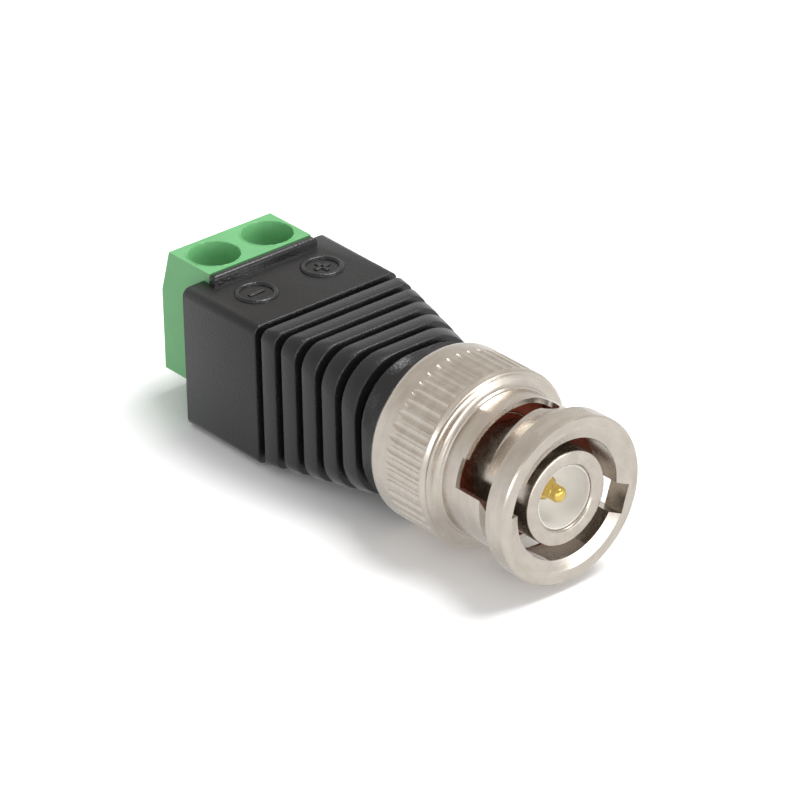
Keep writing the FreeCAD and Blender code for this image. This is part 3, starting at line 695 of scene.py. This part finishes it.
# %% [markdown]
# ## Green terminal
# The terminal is a moulding with a straight front, a flat top and a slanted upper rear. It starts
# as an outline seen from the side, extruded across. Two wells go down to the screws, two square
# mouths take the wires, and two slots in the tongue let the contact strips through. Each well has
# a thin rim of flash that the mould left, a ring whose points are moved a little at random, which
# is what gives the well its bright edge.

# %% Shape the terminal
half_block = edge_of("terminal_body", 1, 1)
block_top = edge_of("terminal_body", 2, 1)
block_rear = edge_of("terminal_body", 0, 0)
block_base = edge_of("terminal_body", 2, 0)
tongue_front = edge_of("terminal_body", 0, 1)
TONGUE_TOP = 4.6
BLOCK_FRONT = -29.78
# The slant's x at the top and its height at the rear
SLANT = (-35.18, 3.17)
SIDE = [(block_rear, block_base), (tongue_front, block_base), (tongue_front, TONGUE_TOP),
        (BLOCK_FRONT, TONGUE_TOP), (BLOCK_FRONT, block_top), (SLANT[0], block_top),
        (block_rear, SLANT[1])]
terminal = prism("green_terminal", SIDE, -half_block, half_block)
terminal.matrix_world = Matrix.Rotation(math.pi / 2, 4, "X")
rest(terminal)
WELL_X = -32.38
POLE = 2.816
WELL = 2.16
WELL_FOOT = 3.1
WELL_FLARE = 0.14
ROOM_HALF = 2.05
ROOM_X = (-35.22, -29.6)
ROOM_Z = (-3.72, 3.15)
MOUTH_TOP = 1.65
MOUTH_INNER = -35.0
STRIP_REAR = -29.8
STRIP = (1.18, 0.43)
for y in (-POLE, POLE):
    well = turned("well_tool", closed([
        (WELL_FOOT, AXIS), (WELL_FOOT, WELL - 0.04), (block_top - 0.16, WELL),
        (block_top - 0.05, WELL + 0.05), (block_top, WELL + WELL_FLARE),
        (block_top + 1, WELL + WELL_FLARE), (block_top + 1, AXIS)]),
        steps=72, axis=(0, 0, 1))
    well.location = (WELL_X * MM, y * MM, 0)
    cut(terminal, rest(well))
    room = block("room_tool", (ROOM_X[0], y - ROOM_HALF, ROOM_Z[0]),
                 (ROOM_X[1], y + ROOM_HALF, ROOM_Z[1]))
    cut(terminal, room)
    mouth = block("mouth_tool", (block_rear - 1, y - ROOM_HALF, ROOM_Z[0]),
                  (MOUTH_INNER, y + ROOM_HALF, MOUTH_TOP))
    pick_points(mouth, lambda p: p.x < block_rear)
    bpy.ops.transform.resize(value=(1, 1.08, 1.06))
    bpy.ops.object.mode_set(mode="OBJECT")
    cut(terminal, mouth)
    strip = block("strip_tool", (STRIP_REAR, y - STRIP[0], -STRIP[1]),
                  (tongue_front + 1, y + STRIP[0], STRIP[1]))
    cut(terminal, strip)
soften(terminal, 0.1, angle=30, segments=3)
FLASH_RADIUS = WELL + 0.13
FLASH_WIRE = 0.075
FLASH_RAGGED = 0.03
for y in (-POLE, POLE):
    bpy.ops.object.select_all(action="DESELECT")
    bpy.ops.mesh.primitive_torus_add(location=(WELL_X * MM, y * MM, (block_top - 0.02) * MM),
                                     major_radius=FLASH_RADIUS * MM, minor_radius=FLASH_WIRE * MM,
                                     major_segments=120, minor_segments=10)
    rim = rest(named("rim"))
    bpy.ops.object.mode_set(mode="EDIT")
    bpy.ops.mesh.select_all(action="SELECT")
    bpy.ops.transform.vertex_random(offset=FLASH_RAGGED * MM, uniform=0.7, seed=4)
    bpy.ops.object.mode_set(mode="OBJECT")
    pick(terminal)
    rim.select_set(True)
    bpy.ops.object.join()
pick(terminal)
bpy.ops.object.shade_smooth_by_angle(angle=math.radians(32))
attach(terminal, "adapter_body")
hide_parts("terminal_body")
print("terminal finished:", len(terminal.data.polygons), "faces")

# %% [markdown]
# ## Clamp screws
# Each screw has a pan head with a slot for a flat driver, and rings for a thread. It is turned
# about Z, and the slot is cut before the edges are softened, so that the cut edge is broken too.

# %% Turn the screws
HEAD = 1.9
HEAD_BASE = 3.22
THREAD = 1.25
THREAD_ROOT = 1.08
THREAD_PITCH = 0.42
THREAD_END = 3.0
DRIVER_HALF = 0.3
DRIVER_DEPTH = 0.8
head_top = edge_of("clamp_screw_neg", 2, 1)
screw_tip = edge_of("clamp_screw_neg", 2, 0)
thread = []
z = screw_tip + 0.3
while z < THREAD_END:
    thread += [(z, THREAD), (z + 0.17, THREAD), (z + 0.25, THREAD_ROOT)]
    z += THREAD_PITCH
screws = []
for body_name, node, y in (("screw_neg", "clamp_screw_neg", -POLE),
                           ("screw_pos", "clamp_screw_pos", POLE)):
    screw = turned("slotted_" + body_name, closed(
        [(head_top, AXIS), (head_top, HEAD - 0.35), (head_top - 0.1, HEAD - 0.12),
         (head_top - 0.3, HEAD), (HEAD_BASE, HEAD), (HEAD_BASE, THREAD_ROOT)]
        + thread[::-1] + [(screw_tip, 1.05), (screw_tip, AXIS)]),
        steps=64, axis=(0, 0, 1))
    slot = block("driver_tool", (-3, -DRIVER_HALF, head_top - DRIVER_DEPTH),
                 (3, DRIVER_HALF, head_top + 1))
    cut(screw, slot)
    screw.location = (WELL_X * MM, y * MM, 0)
    rest(screw)
    soften(screw, 0.04)
    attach(screw, body_name)
    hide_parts(node)
    screws.append(screw)
print("screws added:", len(screws))

# %% [markdown]
# ## Finishes
# Each finish is a small node group of its own, read from Object coordinates, so that it stays put
# on the piece. The number that matters most is roughness, because it decides how wide a highlight
# is. Fine grain goes into the bump, at the size the real surface has.

# %% Helpers for finishes
def finish(name, colour, metallic=0.0, roughness=0.4):
    """A material with its main shader. Colours are written as they look, and are made linear."""
    made = bpy.data.materials.new(name)
    made.use_nodes = True
    shader = made.node_tree.nodes["Principled BSDF"]
    shader.inputs["Base Color"].default_value = (*linear(colour), 1)
    shader.inputs["Metallic"].default_value = metallic
    shader.inputs["Roughness"].default_value = roughness
    return made, made.node_tree, shader


def linear(colour):
    """A colour of 0 to 255 on the screen as Blender's own values."""
    out = []
    for c in colour:
        c = c / 255
        out.append(c / 12.92 if c <= 0.04045 else ((c + 0.055) / 1.055) ** 2.4)
    return out


def grain(tree, scale, detail=3):
    """Noise on Object coordinates. The scale is in marks per metre."""
    place = tree.nodes.new("ShaderNodeTexCoord")
    noise = tree.nodes.new("ShaderNodeTexNoise")
    noise.inputs["Scale"].default_value = scale
    noise.inputs["Detail"].default_value = detail
    tree.links.new(place.outputs["Object"], noise.inputs["Vector"])
    return noise.outputs["Fac"]


# Nearly all of a noise lies between these two
NOISE_LOW = 0.3
NOISE_HIGH = 0.7


def spread(tree, source, low, high):
    """Maps the usual stretch of a noise to low to high."""
    made = tree.nodes.new("ShaderNodeMapRange")
    made.inputs["From Min"].default_value = NOISE_LOW
    made.inputs["From Max"].default_value = NOISE_HIGH
    made.inputs["To Min"].default_value = low
    made.inputs["To Max"].default_value = high
    tree.links.new(source, made.inputs["Value"])
    return made.outputs["Result"]


def tint(tree, source, first, second):
    """Blends two colours by a noise."""
    made = tree.nodes.new("ShaderNodeValToRGB")
    made.color_ramp.elements[0].position = NOISE_LOW
    made.color_ramp.elements[1].position = NOISE_HIGH
    made.color_ramp.elements[0].color = (*linear(first), 1)
    made.color_ramp.elements[1].color = (*linear(second), 1)
    tree.links.new(source, made.inputs["Fac"])
    return made.outputs["Color"]


def bump(tree, shader, source, height, strength=0.3):
    """Raises the surface by a noise, height in mm."""
    made = tree.nodes.new("ShaderNodeBump")
    made.inputs["Strength"].default_value = strength
    made.inputs["Distance"].default_value = height * MM
    tree.links.new(source, made.inputs["Height"])
    tree.links.new(made.outputs["Normal"], shader.inputs["Normal"])


print("finish helpers ready")

# %% [markdown]
# Nickel plating over turned brass is a warm grey and not a mirror. Very fine rings from the lathe
# run round the axis. Their noise is read at a place made of X, the radius, and a short step in the
# direction away from the axis, so it changes quickly along and outwards and slowly round.

# %% Metal finishes
# A middling radius of the turned pieces, in metres
LATHE_RADIUS = 0.006


def lathe_grain(tree, scale, along=0.25):
    """Noise that follows the turning: long round the axis and short along it and outwards."""
    place = tree.nodes.new("ShaderNodeTexCoord")
    parts = tree.nodes.new("ShaderNodeSeparateXYZ")
    across = tree.nodes.new("ShaderNodeCombineXYZ")
    radius = tree.nodes.new("ShaderNodeVectorMath")
    radius.operation = "LENGTH"
    turn = tree.nodes.new("ShaderNodeVectorMath")
    turn.operation = "NORMALIZE"
    arm = tree.nodes.new("ShaderNodeVectorMath")
    arm.operation = "SCALE"
    arm.inputs["Scale"].default_value = LATHE_RADIUS * along
    sides = tree.nodes.new("ShaderNodeSeparateXYZ")
    spot = tree.nodes.new("ShaderNodeCombineXYZ")
    noise = tree.nodes.new("ShaderNodeTexNoise")
    noise.noise_dimensions = "4D"
    noise.inputs["Scale"].default_value = scale
    noise.inputs["Detail"].default_value = 3
    tree.links.new(place.outputs["Object"], parts.inputs["Vector"])
    tree.links.new(parts.outputs["Y"], across.inputs["Y"])
    tree.links.new(parts.outputs["Z"], across.inputs["Z"])
    tree.links.new(across.outputs["Vector"], radius.inputs[0])
    tree.links.new(across.outputs["Vector"], turn.inputs[0])
    tree.links.new(turn.outputs["Vector"], arm.inputs[0])
    tree.links.new(arm.outputs["Vector"], sides.inputs["Vector"])
    tree.links.new(parts.outputs["X"], spot.inputs["X"])
    tree.links.new(sides.outputs["Y"], spot.inputs["Y"])
    tree.links.new(sides.outputs["Z"], spot.inputs["Z"])
    tree.links.new(spot.outputs["Vector"], noise.inputs["Vector"])
    tree.links.new(radius.outputs["Value"], noise.inputs["W"])
    return noise.outputs["Fac"]


def nickel_plate():
    """The plug body and the ring."""
    made, tree, shader = finish("warm_nickel", (198, 189, 178), 1.0, 0.26)
    cloud = lathe_grain(tree, 1300, 0.5)
    rings = lathe_grain(tree, 9000, 0.12)
    tree.links.new(tint(tree, cloud, (192, 183, 172), (206, 198, 188)), shader.inputs["Base Color"])
    tree.links.new(spread(tree, cloud, 0.22, 0.3), shader.inputs["Roughness"])
    bump(tree, shader, rings, 0.003, 0.2)
    return made


def gilt():
    """The centre pin."""
    made, tree, shader = finish("gilt", (224, 194, 108), 1.0, 0.24)
    cloud = grain(tree, 900, 2)
    tree.links.new(tint(tree, cloud, (216, 184, 94), (230, 202, 118)), shader.inputs["Base Color"])
    tree.links.new(spread(tree, cloud, 0.22, 0.34), shader.inputs["Roughness"])
    return made


def bright_steel(name, colour, rough):
    """A plain bright metal, for the small pieces."""
    made, tree, shader = finish(name, colour, 1.0, rough)
    cloud = grain(tree, 1500, 4)
    darker = tuple(c * 0.86 for c in colour)
    tree.links.new(tint(tree, cloud, darker, colour), shader.inputs["Base Color"])
    tree.links.new(spread(tree, cloud, rough - 0.06, rough + 0.08), shader.inputs["Roughness"])
    bump(tree, shader, cloud, 0.004, 0.2)
    return made


metals = {
    "nickel": nickel_plate(),
    "gold": gilt(),
    "spring_steel": bright_steel("spring_steel", (150, 150, 152), 0.3),
    "zinc_steel": bright_steel("zinc_steel", (178, 180, 184), 0.32),
    "tinned_brass": bright_steel("tinned_brass", (196, 190, 172), 0.36),
    "tinned_wire": bright_steel("tinned_wire", (186, 186, 186), 0.3),
    "solder": bright_steel("solder", (176, 178, 180), 0.24),
}
print("metals:", sorted(metals))

# %% [markdown]
# The plastics differ mostly in gloss. The black housing has a fine spark-eroded grain with a soft
# sheen, the green is smoother and lets a little light in, and the white core is almost matt. The
# gasket is dark red rubber with a waxy shine.

# %% Plastic and rubber finishes
def black_plastic():
    """The housing and its marks."""
    made, tree, shader = finish("black_moulding", (20, 20, 21), 0.0, 0.27)
    fine = grain(tree, 5500, 3)
    cloud = grain(tree, 160, 3)
    tree.links.new(tint(tree, cloud, (17, 17, 19), (24, 24, 26)), shader.inputs["Base Color"])
    tree.links.new(spread(tree, cloud, 0.23, 0.31), shader.inputs["Roughness"])
    bump(tree, shader, fine, 0.045, 0.8)
    return made


def green_plastic():
    """The terminal."""
    made, tree, shader = finish("green_moulding", (108, 178, 117), 0.0, 0.36)
    fine = grain(tree, 3200, 3)
    cloud = grain(tree, 220, 3)
    tree.links.new(tint(tree, cloud, (103, 173, 112), (113, 183, 122)), shader.inputs["Base Color"])
    tree.links.new(spread(tree, cloud, 0.32, 0.42), shader.inputs["Roughness"])
    shader.inputs["Subsurface Weight"].default_value = 0.06
    shader.inputs["Subsurface Scale"].default_value = 0.0006
    bump(tree, shader, fine, 0.012, 0.2)
    return made


def white_plastic():
    """The insulator."""
    made, tree, shader = finish("white_core", (216, 213, 208), 0.0, 0.45)
    cloud = grain(tree, 500, 3)
    tree.links.new(tint(tree, cloud, (212, 209, 204), (220, 217, 212)), shader.inputs["Base Color"])
    shader.inputs["Subsurface Weight"].default_value = 0.15
    shader.inputs["Subsurface Scale"].default_value = 0.0005
    bump(tree, shader, grain(tree, 3800, 2), 0.01, 0.15)
    return made


def red_rubber():
    """The gasket."""
    made, tree, shader = finish("seal_rubber", (168, 72, 44), 0.0, 0.45)
    cloud = grain(tree, 700, 3)
    tree.links.new(tint(tree, cloud, (156, 64, 38), (180, 80, 50)), shader.inputs["Base Color"])
    bump(tree, shader, grain(tree, 4200, 2), 0.01, 0.2)
    return made


plastics = {
    "black_plastic": black_plastic(),
    "green_plastic": green_plastic(),
    "insulator_plastic": white_plastic(),
    "seal_rubber": red_rubber(),
}
print("plastics:", sorted(plastics))

# %% [markdown]
# Each modelled piece is given the finish of its slot. The measured nodes, of which some stay in
# sight, such as the cages, take theirs from the material slot that the record gives them.

# %% Give every piece its finish
finishes = {**metals, **plastics}
slots = {entry["node"]: entry["material_slot"] for entry in frame["record"]["subparts"]}
pieces = {
    plug: "nickel", ring: "nickel", core: "insulator_plastic", pin: "gold", gasket: "seal_rubber",
    washer: "spring_steel", housing: "black_plastic", terminal: "green_plastic",
    **{mark: "black_plastic" for mark in marks},
    **{screw: "zinc_steel" for screw in screws},
}
for piece, slot_name in pieces.items():
    piece.data.materials.clear()
    piece.data.materials.append(finishes[slot_name])
for name, obj in frame["nodes"].items():
    obj.data.materials.clear()
    obj.data.materials.append(finishes[slots[name]])
print("finished", len(pieces), "pieces and", len(frame["nodes"]), "nodes")

# %% [markdown]
# ## Floor
# The adapter lies on its ring and on the lower rear edge of the housing, so its nose points up by
# nearly two degrees. The floor is tipped by that angle instead, and the adapter stays in its frame.
# The floor is brighter for rays that come from the camera, so it reads as white paper and keeps the
# shadow, and it glows a little for glossy rays, so that metal mirrors a pale paper.

# %% Floor
FLOOR_SIZE = 3.0
FLOOR_DROP = 0.00002
rest_ring = (-0.55, -GRIP)
rest_rear = (house_rear + 0.3, -6.62)
tilt = math.atan2(rest_rear[1] - rest_ring[1], rest_ring[0] - rest_rear[0])
bpy.ops.object.select_all(action="DESELECT")
bpy.ops.mesh.primitive_plane_add(size=FLOOR_SIZE)
floor = named("paper_floor")
floor.rotation_euler = (0, tilt, 0)
floor.location = (rest_ring[0] * MM, 0, rest_ring[1] * MM - FLOOR_DROP)
paper = bpy.data.materials.new("white_paper")
paper.use_nodes = True
tree = paper.node_tree
tree.nodes.clear()
surface = tree.nodes.new("ShaderNodeOutputMaterial")
ray = tree.nodes.new("ShaderNodeLightPath")


def sheet(kind, level):
    """One kind of surface for the paper, at a level of grey where 1 is white."""
    made = tree.nodes.new(kind)
    made.inputs["Color"].default_value = (level, level, level, 1)
    return made.outputs[0]


def choose(amount, first, second):
    """Mixes two shaders by a number or by a kind of ray."""
    made = tree.nodes.new("ShaderNodeMixShader")
    if isinstance(amount, float):
        made.inputs["Fac"].default_value = amount
    else:
        tree.links.new(amount, made.inputs["Fac"])
    tree.links.new(first, made.inputs[1])
    tree.links.new(second, made.inputs[2])
    return made.outputs["Shader"]


matt = sheet("ShaderNodeBsdfDiffuse", 0.82)
mirrored = choose(0.5, matt, sheet("ShaderNodeEmission", 0.95))
seen = sheet("ShaderNodeBsdfDiffuse", 1.1)
unseen = choose(ray.outputs["Is Glossy Ray"], matt, mirrored)
result = choose(ray.outputs["Is Camera Ray"], unseen, seen)
tree.links.new(result, surface.inputs["Surface"])
floor.data.materials.append(paper)
print("floor tilt in degrees:", round(math.degrees(tilt), 2))

# %% [markdown]
# ## Light
# Three soft boxes stand round the adapter: a large one above and behind, and two low ones in front,
# whose long shapes give the metal its bright bands. The world fills in a level grey, shows white to
# the camera, and where a surface mirrors it, fades from white at the horizon to warm grey above.

# %% Lights
def softbox(name, place, size, watts, target=(-0.012, 0, 0)):
    """A rectangular lamp that looks at the adapter."""
    bpy.ops.object.light_add(type="AREA", location=place)
    lamp = bpy.context.object
    lamp.name = name
    lamp.data.shape = "RECTANGLE"
    lamp.data.size = size[0]
    lamp.data.size_y = size[1]
    lamp.data.energy = watts
    way = Vector(target) - Vector(place)
    lamp.rotation_euler = way.to_track_quat("-Z", "Y").to_euler()


softbox("top_box", (0.06, 0.17, 0.46), (0.28, 0.28), 2.25)
softbox("left_box", (0.36, -0.33, 0.11), (0.22, 0.14), 0.3)
softbox("right_box", (0.48, 0.09, 0.075), (0.4, 0.14), 0.7)
world = bpy.data.worlds.new("studio")
scene.world = world
world.use_nodes = True
sky = world.node_tree
sky.nodes.clear()
view_out = sky.nodes.new("ShaderNodeOutputWorld")
dim = sky.nodes.new("ShaderNodeBackground")
dim.inputs["Color"].default_value = (0.56, 0.56, 0.56, 1)
bright = sky.nodes.new("ShaderNodeBackground")
bright.inputs["Color"].default_value = (1, 1, 1, 1)
shine = sky.nodes.new("ShaderNodeBackground")
height = sky.nodes.new("ShaderNodeTexCoord")
lift = sky.nodes.new("ShaderNodeSeparateXYZ")
fade = sky.nodes.new("ShaderNodeValToRGB")
horizon, overhead = fade.color_ramp.elements
horizon.position = 0.05
horizon.color = (1.0, 1.01, 1.03, 1)
overhead.position = 0.6
overhead.color = (0.7, 0.67, 0.63, 1)
sky.links.new(height.outputs["Generated"], lift.inputs["Vector"])
sky.links.new(lift.outputs["Z"], fade.inputs["Fac"])
sky.links.new(fade.outputs["Color"], shine.inputs["Color"])
sky_ray = sky.nodes.new("ShaderNodeLightPath")
gloss_mix = sky.nodes.new("ShaderNodeMixShader")
sky_mix = sky.nodes.new("ShaderNodeMixShader")
sky.links.new(sky_ray.outputs["Is Glossy Ray"], gloss_mix.inputs["Fac"])
sky.links.new(dim.outputs["Background"], gloss_mix.inputs[1])
sky.links.new(shine.outputs["Background"], gloss_mix.inputs[2])
sky.links.new(sky_ray.outputs["Is Camera Ray"], sky_mix.inputs["Fac"])
sky.links.new(gloss_mix.outputs["Shader"], sky_mix.inputs[1])
sky.links.new(bright.outputs["Background"], sky_mix.inputs[2])
sky.links.new(sky_mix.outputs["Shader"], view_out.inputs["Surface"])

# %% [markdown]
# ## Camera
# The photograph was taken from the front left, a little above, with a long lens. Its azimuth,
# elevation, roll and distance were measured from the round edges of the ring, and the small shifts
# put the adapter where the picture has it.

# %% Camera
SENSOR = 36
AZIMUTH = math.radians(50.378)
ELEVATION = math.radians(28.4)
ROLL = math.radians(-1.12)
DISTANCE = 411.146
SLIDE = (-2.032, 4.163)
AIM_X = -7.562
FOCAL_PIXELS = 5109.96
PICTURE = 800
CENTRE_PIXEL = (410.315, 374.196)
right0 = Vector((math.cos(AZIMUTH), math.sin(AZIMUTH), 0))
back = Vector((math.sin(AZIMUTH) * math.cos(ELEVATION), -math.cos(AZIMUTH) * math.cos(ELEVATION),
               math.sin(ELEVATION)))
up0 = back.cross(right0)
right = right0 * math.cos(ROLL) + up0 * math.sin(ROLL)
up = up0 * math.cos(ROLL) - right0 * math.sin(ROLL)
bpy.ops.object.camera_add()
camera = bpy.context.object
camera.data.sensor_width = SENSOR
camera.data.lens = SENSOR * FOCAL_PIXELS / PICTURE
camera.data.shift_x = (PICTURE / 2 - CENTRE_PIXEL[0]) / PICTURE
camera.data.shift_y = (CENTRE_PIXEL[1] - PICTURE / 2) / PICTURE
camera.data.clip_start = 0.01
camera.data.clip_end = 10
spot = (right * SLIDE[0] + up * SLIDE[1] + back * DISTANCE + Vector((AIM_X, 0, 0))) * MM
turned_to = Matrix((right, up, back)).transposed().to_4x4()
camera.matrix_world = Matrix.Translation(spot) @ turned_to
scene.camera = camera
print("camera at", [round(v / MM, 1) for v in spot], "mm, lens", round(camera.data.lens, 1))
